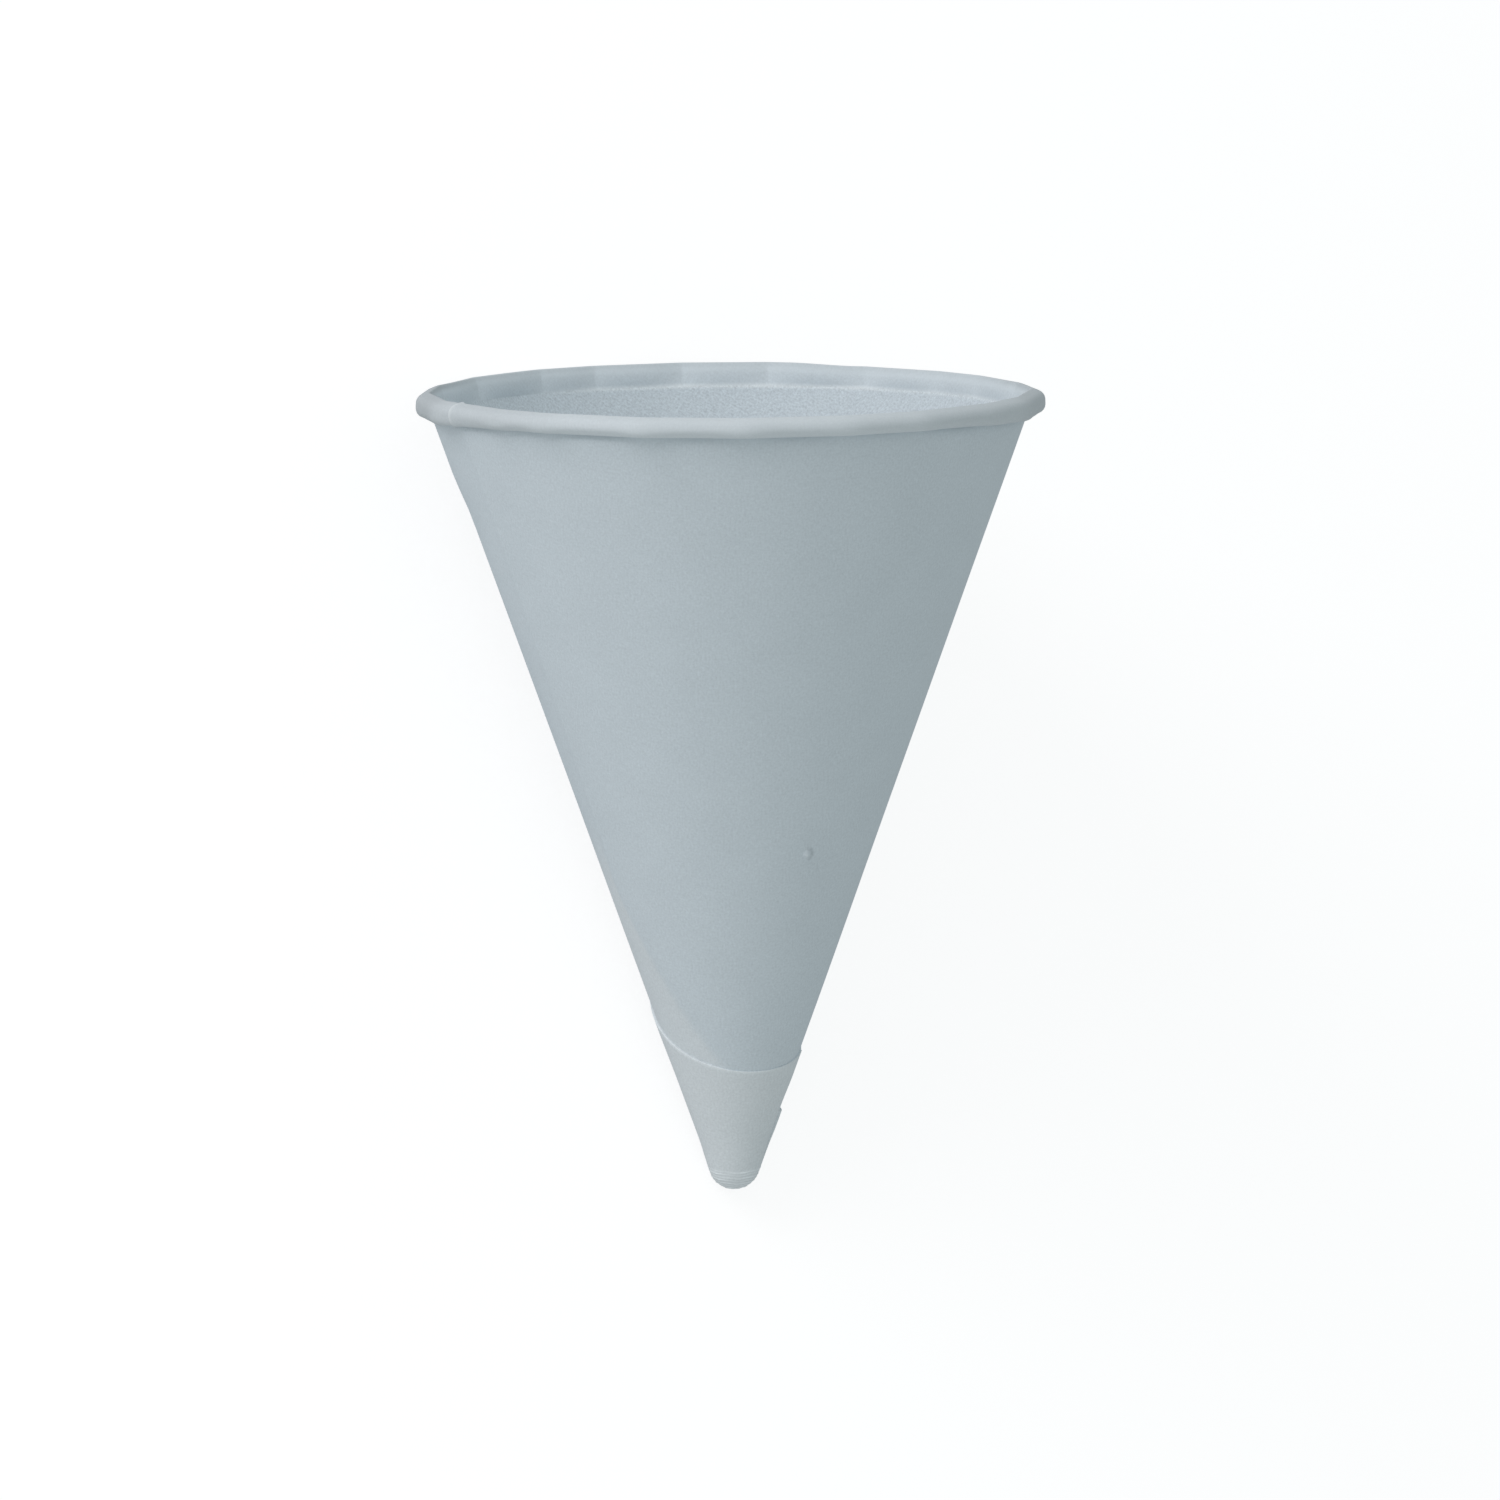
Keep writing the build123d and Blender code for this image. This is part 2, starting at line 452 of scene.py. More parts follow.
# %% Sizes of the places where the sheets stand off
left_side, right_side = -90, 90
left_fullness = 0.07
left_full_span = 65
low_left_fullness = 0.13
low_left_slant = 62
low_left_span = 25
right_fullness = 0.04
right_full_span = 60
full_rise = 5
tip_fullness = 0.16
tip_full_above = 0.8
tip_full_span = 4
right_tail_lift = 0.13
right_lift_span = 34
right_lift_slant = 15.5
right_lift_rise = 4
left_tail_lift = 0.10
left_lift_azimuth = -92
left_lift_span = 30
left_lift_slant = 19
left_lift_rise = 6
close_azimuth = 135
close_span = 30
off_floor = ease((close_azimuth - abs(side)) / close_span)
print(f"the sheets stand up to {left_fullness + low_left_fullness:.2f} mm apart low on the left")


# %% Marks on the outer face
def unevenness(slant):
    """Very shallow waves of the wall, in mm."""
    a = np.radians(column)
    wave = np.sin(3 * a + 0.06 * slant + 1.3) + 0.6 * np.sin(5 * a - 0.11 * slant + 4.0)
    wave = wave + 0.5 * np.sin(8 * a + 0.19 * slant + 2.2)
    return wave_depth * wave * within(slant, *wave_reach)


def fullness(slant):
    """How far the sheets stand off each other, in mm. The side that rests on the floor is close."""
    left = left_fullness + low_left_fullness * ease((low_left_slant - slant) / low_left_span)
    left = left * bump((side - left_side) / left_full_span) * ease(slant / full_rise)
    right = right_fullness * bump((side - right_side) / right_full_span) * ease(slant / full_rise)
    tip = tip_fullness * bump((slant - tip_slant - tip_full_above) / tip_full_span)
    return (left + right + tip) * off_floor


def from_pimple(slant):
    """Distance from the pimple's crest in mm, and the direction in degrees from its lean."""
    across = np.radians(column - pimple_azimuth) * slant * sin(slope)
    up = slant - pimple_slant
    return np.hypot(across, up), signed(np.degrees(np.arctan2(up, across)) - pimple_lean)


def pimple(slant):
    """A small hill, in mm, steep on the lower left and longer to the upper right."""
    away, direction = from_pimple(slant)
    longer = ease((pimple_long_side - abs(direction)) / pimple_long_span)
    reach = pimple_near_reach + pimple_more_reach * longer
    return pimple_height * np.clip(1 - (away / reach) ** 2, 0, None)


def pimple_painted_shade(slant):
    """The painted shade round the far side of the pimple, from 0 to 1."""
    away, direction = from_pimple(slant)
    far_side = ease((pimple_shade_side - abs(direction)) / pimple_shade_span)
    return bump((away - pimple_shade_distance) / pimple_shade_width) * far_side


def tail_lift(slant):
    """How far the upper edge of the tail stands off at both sides, in mm."""
    right = right_tail_lift * bump((side - right_side) / right_lift_span)
    right = right * ease((slant - right_lift_slant) / right_lift_rise)
    left = left_tail_lift * bump((side - left_lift_azimuth) / left_lift_span)
    left = left * ease((slant - left_lift_slant) / left_lift_rise)
    return right + left


def tip_wrinkle(slant):
    """Fine cross wrinkles of the closed tip, from 0 in a valley to 1 on a crest."""
    turn = min(slant, tip_slant) / tip_slant * (pi / 2 - slope)
    height = tip_end * (1 - cos(turn)) + max(slant - tip_slant, 0) * cos(slope)
    a = np.radians(column)
    sway = 0.10 * np.sin(a + 0.4) + 0.06 * np.sin(3 * a + 1.7) + 0.04 * np.sin(7 * a + 0.3)
    crest = 0.5 + 0.5 * np.sin(2 * pi * (height + sway) / wrinkle_gap)
    broken = 0.75 + 0.45 * np.sin(2 * a + 5 * height + 3.4) * np.sin(3 * a - 4 * height + 1.2)
    return crest ** 2 * broken * within(height, 0, wrinkle_fade, wrinkled_height, wrinkle_fade)


# %% [markdown]
# ## Building the mesh
#
# The rings are listed in the order in which a finger would follow the paper: from the
# bottom of the inside up the wall, over the rim and round inside the roll, then down the
# outer face, over the end cut and the free corner, to the tip. Two rings at the same place
# but one sheet apart make the true edge of the paper.
#
# Each ring also keeps four things that the finish needs: its slant height, how much of the
# warmer, lighter tint it has, how pale it is, and how light. Paper that is cut or creased is
# paler there, because its fibres are broken and stand up, and at the cut edges and on the
# wrinkle crests of the tip a painted highlight adds to that paleness. The pale line along the
# crease inside and the pale speck on the pimple's crest are painted highlights. How light a
# ring is holds painted light and shade: a painted glow on the inside, where the thin paper
# lets light through, most on the band that the tool pressed below the rim and a little on
# the tail; painted shade on the rolled bead, more at its ends, on the far side of the pimple
# and near the very tip; painted highlights on the wrinkle crests; and painted shading that
# makes each pressed flat behind the mouth a little lighter at one end.

# %% Tones of the rings
# Painted light: a glow painted on the inside, the band and the tail, and painted shade on the rolled
# bead.
painted_inner_glow = 1.04
painted_band_glow = 1.14
painted_tail_glow = 1.02
painted_bead_shade = 0.98
inner_warmth = 0.2
band_warmth = 0.5
roll_warmth = 0.6
ramp_warmth = 0.7
# Painted shade on the bead, deepening towards both of its ends.
painted_left_shade, left_shade_azimuth, left_shade_span = 0.10, -25, 25
painted_right_shade, right_shade_azimuth, right_shade_span = 0.08, 20, 30
painted_left_end_shade, left_end_azimuth = 0.12, -60
painted_right_end_shade, right_end_azimuth = 0.08, 60
end_shade_span = 15
unshaded_azimuth, unshaded_span = 125, 25
shaded_turn = 50
# Painted shading: each pressed flat behind the mouth is painted a little lighter at one end.
painted_flat_contrast = 0.08
painted_flat_reach = (130, 40, 280, 30)
flat_share = from_ridge / (from_ridge + to_ridge)
painted_flat_shading = painted_flat_contrast * (flat_share - 0.5) * within(column, *painted_flat_reach)
rings = []


def add_ring(points, slant, deep=0, pale=0, light=1):
    """Keeps a ring of points with its slant heights and its tones."""
    tones = (slant + 0 * column, deep + 0 * column, pale + 0 * column, light + 0 * column)
    rings.append((*points, *tones))


def painted_bead_light(turn):
    """The painted light and shade of the rolled bead, beside the plain wall."""
    left = painted_left_shade * ease((left_shade_azimuth - side) / left_shade_span)
    left = left + painted_left_end_shade * ease((left_end_azimuth - side) / end_shade_span)
    right = painted_right_shade * ease((side - right_shade_azimuth) / right_shade_span)
    right = right + painted_right_end_shade * ease((side - right_end_azimuth) / end_shade_span)
    ends = (left + right) * ease((unshaded_azimuth - abs(side)) / unshaded_span)
    inside = painted_band_glow + painted_flat_shading
    return inside + (painted_bead_shade - ends - inside) * ease(turn / shaded_turn)


print(f"the inside glows by {painted_inner_glow - 1:.0%} and the band by {painted_band_glow - 1:.0%}")

# %% The inside
crease_relief = 0.03
crease_width = 0.45
crease_azimuth, crease_span = 160, 30
right_crease_fade = 0.4
inner_climb_slant, inner_climb_span = 30, 16


def crease_with_painted_highlight(distance):
    """How strong the crease inside and its painted highlight are, by the distance from it in mm along
    the wall.
    """
    from_back = ease((crease_azimuth - abs(side)) / crease_span)
    faded = np.where(side < 0, from_back, right_crease_fade * from_back)
    return bump(distance / crease_width) * (1 - faded)


def inner_layers(slant):
    """The inner face steps out where the sheet climbs over its own start."""
    fade = ease((slant - inner_climb_slant) / inner_climb_span)
    return np.where(column > 180, over_start(column, slant) * fade, 0)


inner_slants = np.concatenate((
    np.linspace(0.4, tip_slant, 6),
    np.linspace(tip_slant, 94, 14)[1:],
    np.linspace(94, crease_slant - crease_width, 4)[1:],
    crease_slant + crease_width * np.array([-0.7, -0.45, -0.2, 0]),
))
for slant in inner_slants:
    crease = crease_with_painted_highlight(slant - crease_slant)
    out = inner_layers(slant) * sheet + flare(slant) - crease_relief * crease
    # The crease's paleness is a painted highlight along it, and the inside gets a painted glow.
    add_ring(wall_ring(slant, out), slant, deep=inner_warmth, pale=crease, light=painted_inner_glow)
inner_wall_rings = len(rings)
print(inner_wall_rings, "rings inside, from the tip up to the crease")

# %% The band and the roll
band_length = (bead_height - crease_height) / cos(slope)
band_shares = (0.05, 0.1, 0.16, 0.24, 0.4, 0.6, 0.8)
roll_turns = np.concatenate((
    (0, 18, 30, 36, 40, 43, 46, 49, 53, 60), np.linspace(72, 360 + roll_overlap, 24),
))
last_turn = roll_turns[-1]
hidden_turns = np.linspace(last_turn, 0, 14)
roll_mean = (bead_radius + inner_roll_radius) / 2
lip_fibres_and_highlight = 0.9
lip_highlight_width = 0.8
lip_highlight_reach = (50, 40, 230, 40)

for share in band_shares:
    crease = crease_with_painted_highlight(share * band_length)
    radius, height = band_ring(share, face_in)
    place = (radius - crease_relief * crease, height)
    warmth = inner_warmth + band_warmth * share
    light = painted_inner_glow + (painted_band_glow - painted_inner_glow) * share + painted_flat_shading
    # The crease's paleness is a painted highlight, and the band gets a painted glow.
    add_ring(place, crease_slant + share * band_length, warmth, crease, light)

first_roll_ring = len(rings)
for turn in roll_turns:
    # The start's cut edge is paler on the bead, with a painted highlight on the lip beside it.
    fibres = lip_fibres_and_highlight * bump(past_edge / lip_highlight_width) * within(turn, *lip_highlight_reach)
    slant = rim_slant + radians(turn) * roll_mean
    add_ring(roll_ring(turn, bead_layers(turn)), slant, roll_warmth, fibres, painted_bead_light(turn))
for turn in hidden_turns:
    add_ring(roll_ring(turn, face_out), rim_slant + radians(turn) * roll_mean)
for share in (0.8, 0.5, 0.25):
    add_ring(band_ring(share, face_out), crease_slant + share * band_length)
past_roll_ring = len(rings)
print(past_roll_ring, "rings inside and round the rim")

# %% The outside, down to the end cut
cut = end_cut(column)
above_pimple, below_pimple = 0.631, 0.660
pimple_highlight_paleness = 0.7
pimple_highlight_radius = 0.26
cut_away_azimuth, cut_away_span, cut_away_end = -140, 40, 60
cut_away_slant, cut_away_rise = 54, 12
shares = np.concatenate((
    np.linspace(0, 0.06, 7),
    np.linspace(0.06, above_pimple, 20)[1:],
    np.linspace(above_pimple, below_pimple, 20)[1:],
    np.linspace(below_pimple, 0.96, 13)[1:],
    np.linspace(0.96, 1, 5)[1:],
))
for share in shares:
    slant = crease_slant + (cut - crease_slant) * share
    out = layers_above_cut(column, slant) * sheet + fullness(slant)
    out = out + flare(slant) + pimple(slant) + unevenness(slant)
    # Low on the left, where the start is cut away, the paper is tinted warmer and a little paler,
    # partly as painted light.
    cut_away = (1 - over_start(column, slant)) * ease((side - cut_away_azimuth) / cut_away_span)
    cut_away = cut_away * (side < cut_away_end) * ease((cut_away_slant - slant) / cut_away_rise)
    # A painted highlight on the pimple's crest, and painted shade round its far side.
    pimple_highlight = pimple_highlight_paleness * bump(from_pimple(slant)[0] / pimple_highlight_radius)
    light = 1 - pimple_shade_strength * pimple_painted_shade(slant)
    add_ring(wall_ring(slant, out), slant, ramp_warmth * cut_away, pimple_highlight + 0.1 * cut_away, light)
print(len(rings), "rings from the inside of the tip to the end cut")

# %% The outside, from the end cut to the tip
wrinkle_fibres_and_highlight = 0.8
painted_wrinkle_highlight = 0.12
painted_tip_shade = 0.05
# The end cut is paler along its edge, with a painted highlight that fades away to the right.
cut_edge_highlight_width = 0.05
highlight_fade, highlight_fade_azimuth, highlight_fade_span = 0.9, 20, 40
deep_azimuth, deep_span = -130, 60
corner_slant = 14.9
beside_tail = (column > tail_azimuth) & (column < seam_azimuth)
cut_edge_highlight_reach = (1 - highlight_fade * ease((side - highlight_fade_azimuth) / highlight_fade_span)) * ~beside_tail
# The tail is tinted warmer and lighter, partly for its layers and partly as painted light.
tail_deep = np.where(side < 0, ease((side - deep_azimuth) / deep_span), side < tail_azimuth)
for share in (0, 0.02, 0.06, 0.15, 0.3, 0.45, 0.6, 0.75, 0.9, 1):
    slant = cut + (corner_slant - cut) * share
    slant = slant - 0.01 * (share == 0) + 0.01 * (share == 1)
    out = layers_below_cut(column) * sheet + fullness(slant) + tail_lift(slant) + unevenness(slant)
    # A slight painted glow on the tail.
    light = 1 + (painted_tail_glow - 1) * tail_deep
    cut_edge_pale_and_highlight = bump(share / cut_edge_highlight_width) * cut_edge_highlight_reach
    add_ring(wall_ring(slant, out), slant, tail_deep, cut_edge_pale_and_highlight, light)
print(len(rings), "rings from the inside of the tip to the free corner")

# %% The free corner and the tip
corner_lift = 0.3
corner_rise = 7
corner_end, corner_span = 125, 20
corner = (column > corner_azimuth) * (1 - ease((column - corner_end) / corner_span))
corner = corner * (column < 180)
for slant in np.concatenate((
    np.linspace(corner_slant - 0.01, tip_slant + 1.4, 7),
    np.linspace(tip_slant + 1.4, tip_slant, 12)[1:],
    np.linspace(tip_slant, 0.25, 38)[1:],
)):
    crest = tip_wrinkle(slant)
    flap = np.maximum(layers_below_cut(column), 3 * corner) * sheet
    lift = corner_lift * corner * ease((slant - tip_slant) / corner_rise)
    out = flap + lift + fullness(slant) + unevenness(slant) + wrinkle_depth * crest * off_floor
    deep = np.maximum(tail_deep, corner)
    # Painted highlights on the wrinkle crests, and painted shade near the very tip; the crests are
    # also a little paler for their creased fibres.
    light = 1 + (painted_tail_glow - 1) * deep + painted_wrinkle_highlight * crest
    light = light - painted_tip_shade * ease((tip_slant + 1 - slant) / 2)
    add_ring(wall_ring(slant, out), slant, deep, wrinkle_fibres_and_highlight * crest, light)
print(len(rings), "rings from the inside of the tip to its outside")

# %% Faces
count = len(column)
turn = np.radians(column)
points = np.array([(r * np.sin(turn), -r * np.cos(turn), z) for r, z, *tones in rings])
points = points.transpose(0, 2, 1).reshape(-1, 3)
inside_pole = (0, 0, tip_height - tip_radius)
outside_pole = (0, 0, tip_height - tip_end)
points = np.vstack((points, inside_pole, outside_pole))

quads = []
for ring in range(len(rings) - 1):
    here = ring * count
    for c in range(count):
        d = (c + 1) % count
        quads.append((here + c, here + d, here + count + d, here + count + c))
last_ring = (len(rings) - 1) * count
caps = []
for c in range(count):
    d = (c + 1) % count
    caps.append((d, c, len(points) - 2))
    caps.append((last_ring + c, last_ring + d, len(points) - 1))

paper_mesh = bpy.data.meshes.new("cone_cup_paper")
paper_mesh.from_pydata([lay_down @ Vector(p) for p in points], [], quads + caps)
paper_cup = bpy.data.objects.new("cone_cup_paper", paper_mesh)
bpy.context.scene.collection.objects.link(paper_cup)
for face in paper_mesh.polygons:
    face.use_smooth = True
paper_mesh.set_sharp_from_angle(angle=radians(40))
print(len(quads) * 2 + len(caps), "triangles in the cup")

# %% [markdown]
# ## Laying the grain
#
# Paper has a grain that runs straight in the flat sheet. So each corner of each face also
# gets its place in the flat sheet, in millimetres: the slant height is its distance from
# the aim point, and its azimuth shrinks to the smaller angle of the unrolled sheet. The
# finish uses that map, and the grain then turns with the paper round the cone.
#
# The tones of the rings become attributes of the points. One more says how coarse the
# paper looks: the rolled paper is smooth, and the inside, which was never rubbed, is the
# coarsest.

# %% The flat sheet as a map, and the tones
smooth_paper, outer_paper, inner_paper = 0.0, 0.25, 1.0


def over_rings(values, inside, outside):
    """One value for each point of the mesh, from the rings and the two poles."""
    return np.concatenate([*values, (inside, outside)]).astype(np.float32)


slants = over_rings([ring[2] for ring in rings], 0, 0)
flat_map = paper_mesh.uv_layers.new(name="flat_sheet")
wound = np.where(column > seam_azimuth, column - 360, column)
flat_turn = np.radians(wound) * sin(slope)
whole_turn = 2 * pi * sin(slope)
corner_places = []
for face in paper_mesh.polygons:
    corners = [paper_mesh.loops[i].vertex_index for i in face.loop_indices]
    turns = [flat_turn[v % count] if v < len(points) - 2 else None for v in corners]
    known = [t for t in turns if t is not None]
    for v, t in zip(corners, turns):
        t = known[0] if t is None else t
        t = t - whole_turn * round((t - known[0]) / whole_turn)
        corner_places += (slants[v] * sin(t), slants[v] * cos(t))
flat_map.data.foreach_set("uv", corner_places)

ring_coarseness = np.full(len(rings), outer_paper)
ring_coarseness[:inner_wall_rings] = inner_paper
ring_coarseness[first_roll_ring:past_roll_ring] = smooth_paper
coarse = [value + 0 * column for value in ring_coarseness]
for name, values in (
    ("warmer_tint", over_rings([ring[3] for ring in rings], 0, 1)),
    ("pale_fibres_and_highlights", over_rings([ring[4] for ring in rings], 0, 0)),
    ("tone_and_painted_light", over_rings([ring[5] for ring in rings], painted_inner_glow, painted_tail_glow)),
    ("coarseness", over_rings(coarse, inner_paper, outer_paper)),
):
    paper_mesh.attributes.new(name, "FLOAT", "POINT").data.foreach_set("value", values)
print(f"unrolled, the mesh reaches {slants.max():.1f} mm from the aim point")

# %% [markdown]
# ## The paper
#
# Uncoated cup paper is matt. Seen close, it has a fine grain of fibres that lie mostly one
# way, and it is a little cloudy, because the fibres never spread evenly. Where the sheet is
# three deep, low on the left where its start is cut away, and a little inside and on the rim,
# the paper is tinted warmer and lighter, partly for the layers behind it and partly as painted
# light. All of that is nodes: noise that is stretched along the grain for the fibres, plain
# noise for the mottle and the clouds, a bump from both, and the tones of the mesh, which
# carry the painted light and shade.

# %% Helpers for nodes
def node(tree, kind, at, **settings):
    """A new node of a kind, with its settings."""
    made = tree.nodes.new(kind)
    made.location = at
    for name, value in settings.items():
        setattr(made, name, value)
    return made


def noise(tree, place, scale, detail, roughness, at):
    """Noise of a scale per millimetre, as a value about 0."""
    made = node(tree, "ShaderNodeTexNoise", at)
    made.inputs["Scale"].default_value = scale
    made.inputs["Detail"].default_value = detail
    made.inputs["Roughness"].default_value = roughness
    tree.links.new(place, made.inputs["Vector"])
    centred = node(tree, "ShaderNodeMath", (at[0] + 200, at[1]), operation="SUBTRACT")
    centred.inputs[1].default_value = 0.5
    tree.links.new(made.outputs["Fac"], centred.inputs[0])
    return centred.outputs["Value"]


def combine(tree, kind, first, second, at):
    """Joins two values, or a value and a number, by a kind of sum."""
    made = node(tree, "ShaderNodeMath", at, operation=kind)
    for socket, value in zip(made.inputs, (first, second)):
        if isinstance(value, (int, float)):
            socket.default_value = value
        else:
            tree.links.new(value, socket)
    return made.outputs["Value"]


def tinted(tree, colour, tint, amount, at):
    """A colour that turns to another, by an amount from the mesh."""
    made = node(tree, "ShaderNodeMix", at, data_type="RGBA")
    tree.links.new(amount, made.inputs["Factor"])
    for socket, value in ((made.inputs["A"], colour), (made.inputs["B"], tint)):
        if isinstance(value, tuple):
            socket.default_value = value
        else:
            tree.links.new(value, socket)
    return made.outputs["Result"]


# %% Colours and grain of the paper
paper_colour = (0.66, 0.72, 0.76, 1)
warm_tint_colour = (0.72, 0.757, 0.777, 1)
pale_and_highlight_colour = (0.84, 0.88, 0.90, 1)
matt_roughness = 0.85
dull_gloss = 0.25
grain_stretch = 0.3
fibre_scale = 4.2
mottle_scale = 3.6
cloud_scale = 0.16
fibre_contrast = 0.16
mottle_contrast = 0.20
cloud_contrast = 0.07
plain_share = 0.68
coarse_share = 2.5
grain_depth = 0.03 * mm
grain_strength = 0.5
print(f"the fibres are about {1 / fibre_scale:.2f} mm wide and {1 / grain_stretch:.1f} times as long")


# %% The paper's finish
def make_paper():
    """Matt uncoated paper with a fine, directed grain."""
    paper = bpy.data.materials.new("matt_cup_paper")
    paper.use_nodes = True
    tree = paper.node_tree
    link = tree.links.new
    shader = tree.nodes["Principled BSDF"]
    shader.inputs["Roughness"].default_value = matt_roughness
    shader.inputs["Specular IOR Level"].default_value = dull_gloss

    place = node(tree, "ShaderNodeUVMap", (-1800, 0), uv_map="flat_sheet").outputs["UV"]
    along_grain = node(tree, "ShaderNodeMapping", (-1600, 200))
    along_grain.inputs["Scale"].default_value = (1.0, grain_stretch, 1.0)
    link(place, along_grain.inputs["Vector"])
    fibres = noise(tree, along_grain.outputs["Vector"], fibre_scale, 4, 0.65, (-1400, 300))
    mottle = noise(tree, place, mottle_scale, 2, 0.6, (-1400, 0))
    clouds = noise(tree, place, cloud_scale, 3, 0.5, (-1400, -300))

    coarse = node(tree, "ShaderNodeAttribute", (-1400, 600), attribute_name="coarseness")
    strength = combine(tree, "MULTIPLY", coarse.outputs["Fac"], coarse_share, (-1200, 600))
    strength = combine(tree, "ADD", strength, plain_share, (-1000, 600))
    fibre_tone = combine(tree, "MULTIPLY", fibres, fibre_contrast, (-1000, 300))
    mottle_tone = combine(tree, "MULTIPLY", mottle, mottle_contrast, (-1000, 100))
    grain_tone = combine(tree, "ADD", fibre_tone, mottle_tone, (-800, 200))
    grain_tone = combine(tree, "MULTIPLY", grain_tone, strength, (-600, 300))
    cloud_tone = combine(tree, "MULTIPLY", clouds, cloud_contrast, (-800, -200))
    # The rings' lightness is painted light and shade, and the grain and clouds are the paper's own
    # tone.
    ring_painted_light = node(tree, "ShaderNodeAttribute", (-600, 800), attribute_name="tone_and_painted_light")
    tone_and_painted_light = combine(tree, "ADD", grain_tone, cloud_tone, (-400, 100))
    tone_and_painted_light = combine(tree, "ADD", tone_and_painted_light, ring_painted_light.outputs["Fac"], (-200, 100))

    # The warmer tint is partly painted light, and the pale tint is partly painted highlights.
    deep = node(tree, "ShaderNodeAttribute", (-1000, -450), attribute_name="warmer_tint")
    broken = node(tree, "ShaderNodeAttribute", (-1000, -700), attribute_name="pale_fibres_and_highlights")
    colour = tinted(tree, paper_colour, warm_tint_colour, deep.outputs["Fac"], (-700, -400))
    colour = tinted(tree, colour, pale_and_highlight_colour, broken.outputs["Fac"], (-400, -400))
    shade = node(tree, "ShaderNodeVectorMath", (0, -100), operation="SCALE")
    link(colour, shade.inputs["Vector"])
    link(tone_and_painted_light, shade.inputs["Scale"])
    link(shade.outputs["Vector"], shader.inputs["Base Color"])

    height = combine(tree, "ADD", fibres, mottle, (-600, 600))
    height = combine(tree, "MULTIPLY", height, strength, (-400, 600))
    relief = node(tree, "ShaderNodeBump", (-200, 500))
    relief.inputs["Strength"].default_value = grain_strength
    relief.inputs["Distance"].default_value = grain_depth
    link(height, relief.inputs["Height"])
    link(relief.outputs["Normal"], shader.inputs["Normal"])
    return paper


paper_mesh.materials.append(make_paper())
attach(paper_cup, "root")
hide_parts("cone_cup")

# %% [markdown]
# ## Floor and background
#
# The cup lies on a plain white floor that fills the picture. The camera sees it almost
# white, and only the soft shadow of the cup is left on it. To every other ray it is a plain
# matt floor, so that it throws light back at the cup as a real one would.

# %% Floor
floor_size = 4.0
floor_white = 0.85
backdrop_glow = 0.62
glow_strength = 1.3


def make_floor_finish():
    """A matt white that the camera sees a little brighter than it is lit."""
    finish = bpy.data.materials.new("floor_white")
    finish.use_nodes = True
    tree = finish.node_tree
    link = tree.links.new
    tree.nodes.remove(tree.nodes["Principled BSDF"])
    matt = node(tree, "ShaderNodeBsdfDiffuse", (-500, 100))
    matt.inputs["Color"].default_value = (floor_white, floor_white, floor_white, 1)
    glow = node(tree, "ShaderNodeEmission", (-500, -50))
    glow.inputs["Strength"].default_value = glow_strength
    rays = node(tree, "ShaderNodeLightPath", (-700, 350))
    share = combine(tree, "MULTIPLY", rays.outputs["Is Camera Ray"], backdrop_glow, (-300, 300))
    both = node(tree, "ShaderNodeMixShader", (-100, 0))
    link(share, both.inputs["Fac"])
    link(matt.outputs["BSDF"], both.inputs[1])
    link(glow.outputs["Emission"], both.inputs[2])
    link(both.outputs["Shader"], tree.nodes["Material Output"].inputs["Surface"])
    return finish


floor_mesh = bpy.data.meshes.new("floor")
half = floor_size / 2
floor_mesh.from_pydata([(-half, -half, 0), (half, -half, 0), (half, half, 0), (-half, half, 0)],
                       [], [(0, 1, 2, 3)])
floor = bpy.data.objects.new("floor", floor_mesh)
bpy.context.scene.collection.objects.link(floor)
floor_mesh.materials.append(make_floor_finish())
print("the floor is", floor_size, "m wide")

# %% [markdown]
# ## Light
#
# The light is soft and even: a bright room all round, a little cool, one soft lamp high on
# the left of the picture, and a small, weak one low on the same side, which lights the tail
# and the underside of the rim. Both lamps are placed by the upright cup's azimuth and height
# and then carried over by the same matrix as the cup.

# %% World and lamps
room_colour = (0.459, 0.501, 0.508, 1)

world = bpy.data.worlds.new("soft_room")
bpy.context.scene.world = world
world.use_nodes = True
tree = world.node_tree
room = tree.nodes["Background"]
room.inputs["Color"].default_value = room_colour
room.inputs["Strength"].default_value = 1.0
white = node(tree, "ShaderNodeBackground", (0, -150))
white.inputs["Color"].default_value = (1, 1, 1, 1)
rays = node(tree, "ShaderNodeLightPath", (-200, 300))
choose = node(tree, "ShaderNodeMixShader", (250, 100))
tree.links.new(rays.outputs["Is Camera Ray"], choose.inputs["Fac"])
tree.links.new(room.outputs["Background"], choose.inputs[1])
tree.links.new(white.outputs["Background"], choose.inputs[2])
tree.links.new(choose.outputs["Shader"], tree.nodes["World Output"].inputs["Surface"])


def upright_direction(azimuth, elevation):
    """A direction seen from the upright cup, carried over to the lying one."""
    a, e = radians(azimuth), radians(elevation)
    return (fall.to_3x3() @ Vector((sin(a) * cos(e), -cos(a) * cos(e), sin(e)))).normalized()


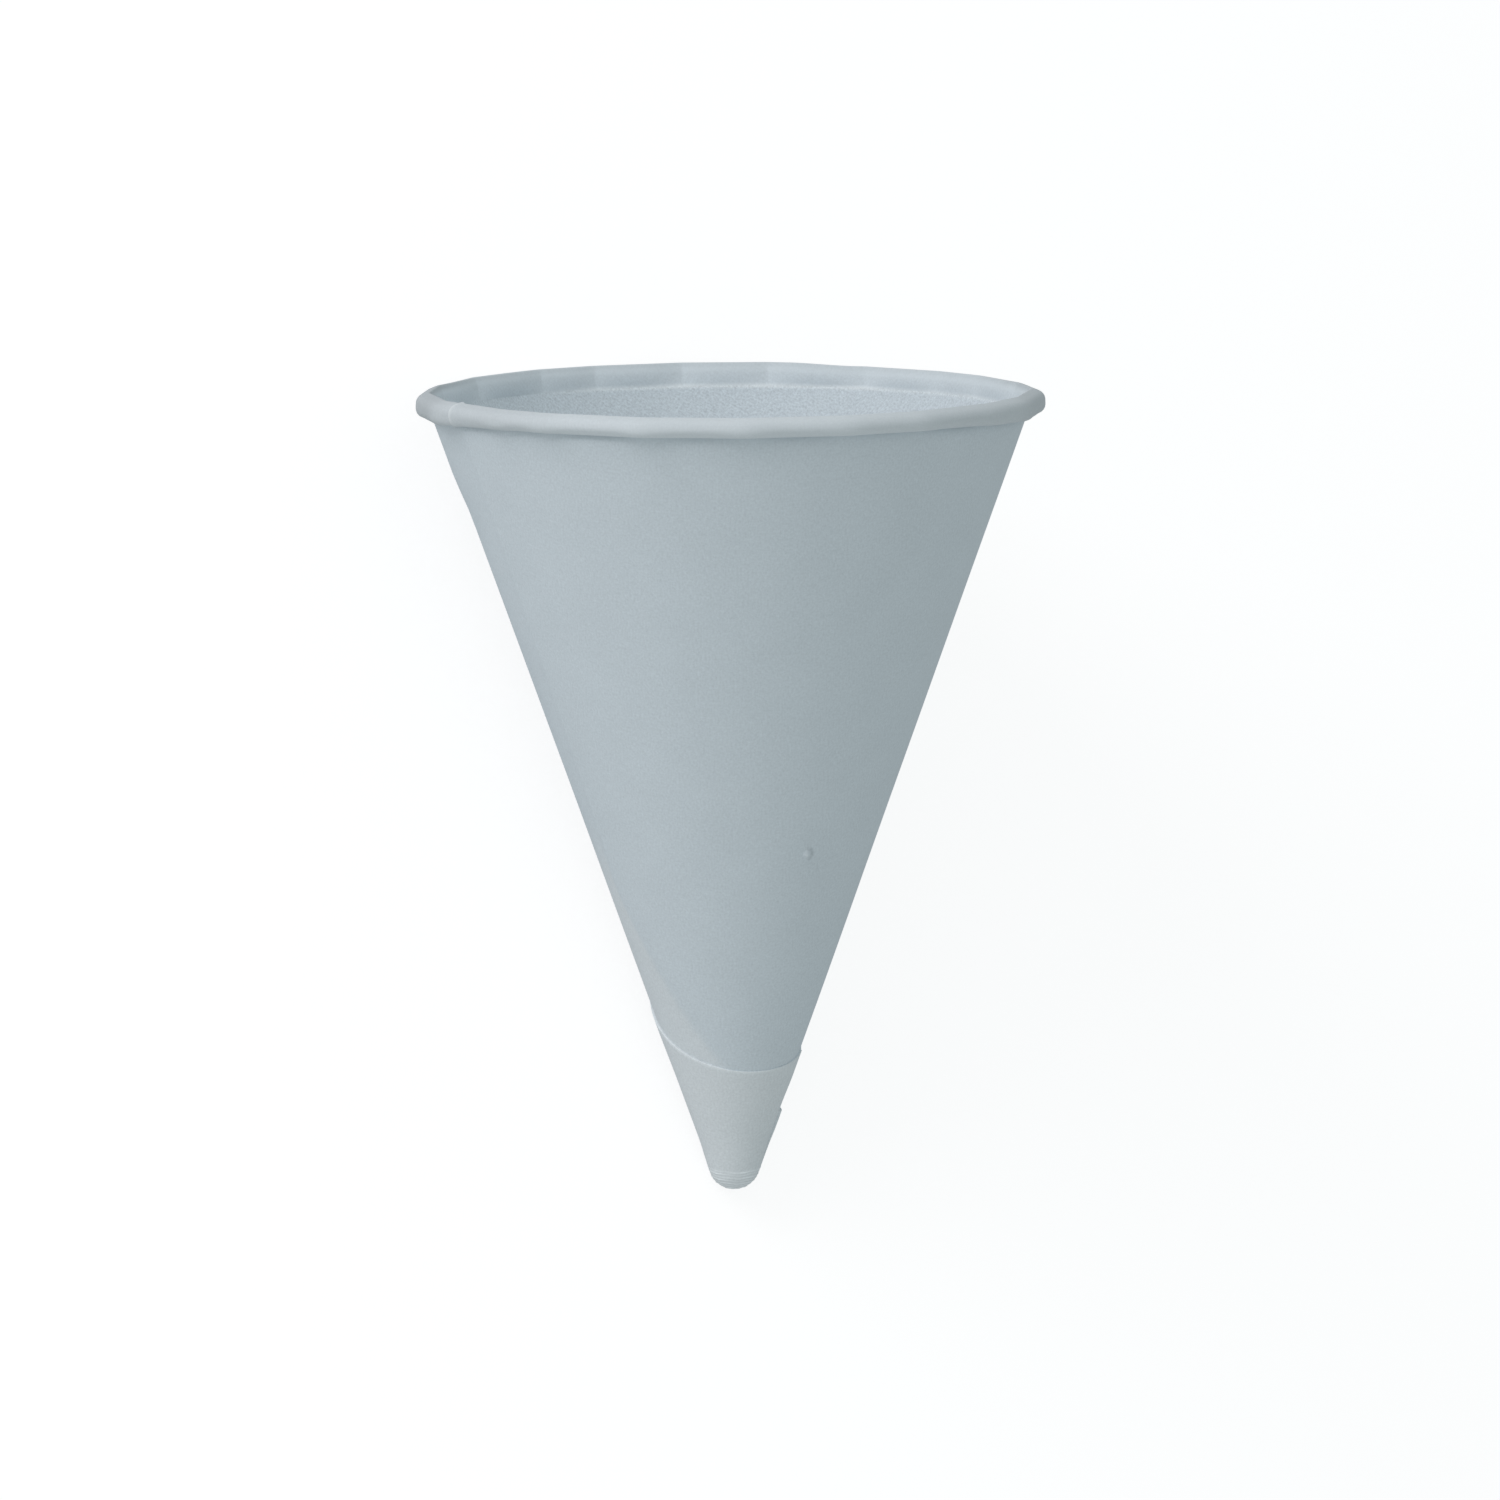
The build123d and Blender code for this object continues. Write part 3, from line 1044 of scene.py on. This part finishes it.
def add_lamp(name, azimuth, elevation, distance, size, watts, colour):
    """A square soft lamp that looks at the middle of the cup."""
    light = bpy.data.lights.new(name, "AREA")
    light.size = size
    light.energy = watts
    light.color = colour
    lamp = bpy.data.objects.new(name, light)
    direction = upright_direction(azimuth, elevation)
    lamp.location = (cup_low + cup_high) / 2 + direction * distance
    lamp.rotation_euler = direction.to_track_quat("Z", "Y").to_euler()
    bpy.context.scene.collection.objects.link(lamp)
    print(f"{name} gives {watts} W from {distance} m")


add_lamp("main_lamp", -45, 45, distance=0.6, size=0.35, watts=1.29, colour=(1.0, 0.96, 0.985))
add_lamp("low_lamp", -40, -50, distance=0.2, size=0.1, watts=0.035, colour=(1.0, 0.97, 0.97))

# %% [markdown]
# ## Camera
#
# The photographer stood far from the cup and a little above its rim, with a long lens. The
# view is set up for the upright cup and carried over by the matrix that laid the cup down,
# so the picture shows the cup as it was seen, although it now lies on its side.

# %% Camera
view_distance = 600
view_height = 48
view_elevation = 10.23
view_yaw = 0.20
view_pitch = 0.86
view_roll = 0.27
lens = 122.4
sensor = 36

e = radians(view_elevation)
eye = Vector((0, -view_distance * cos(e), view_height + view_distance * sin(e)))
look_down = radians(view_pitch - view_elevation)
yaw = radians(view_yaw)
forward = Vector((sin(yaw) * cos(look_down), cos(yaw) * cos(look_down), sin(look_down)))
level = forward.cross(Vector((0, 0, 1))).normalized()
above = level.cross(forward)
roll = radians(view_roll)
right = level * cos(roll) - above * sin(roll)
up = level * sin(roll) + above * cos(roll)
view = Matrix((right, up, -forward)).transposed()

camera_data = bpy.data.cameras.new("camera")
camera_data.lens = lens
camera_data.sensor_width = sensor
camera_data.clip_start = 0.01
camera = bpy.data.objects.new("camera", camera_data)
camera.matrix_world = Matrix.Translation(lay_down @ eye) @ (fall.to_3x3() @ view).to_4x4()
bpy.context.scene.collection.objects.link(camera)
bpy.context.scene.camera = camera
bpy.context.scene.view_settings.view_transform = "Standard"
print("the camera is", round(camera.location.z, 3), "m above the floor")
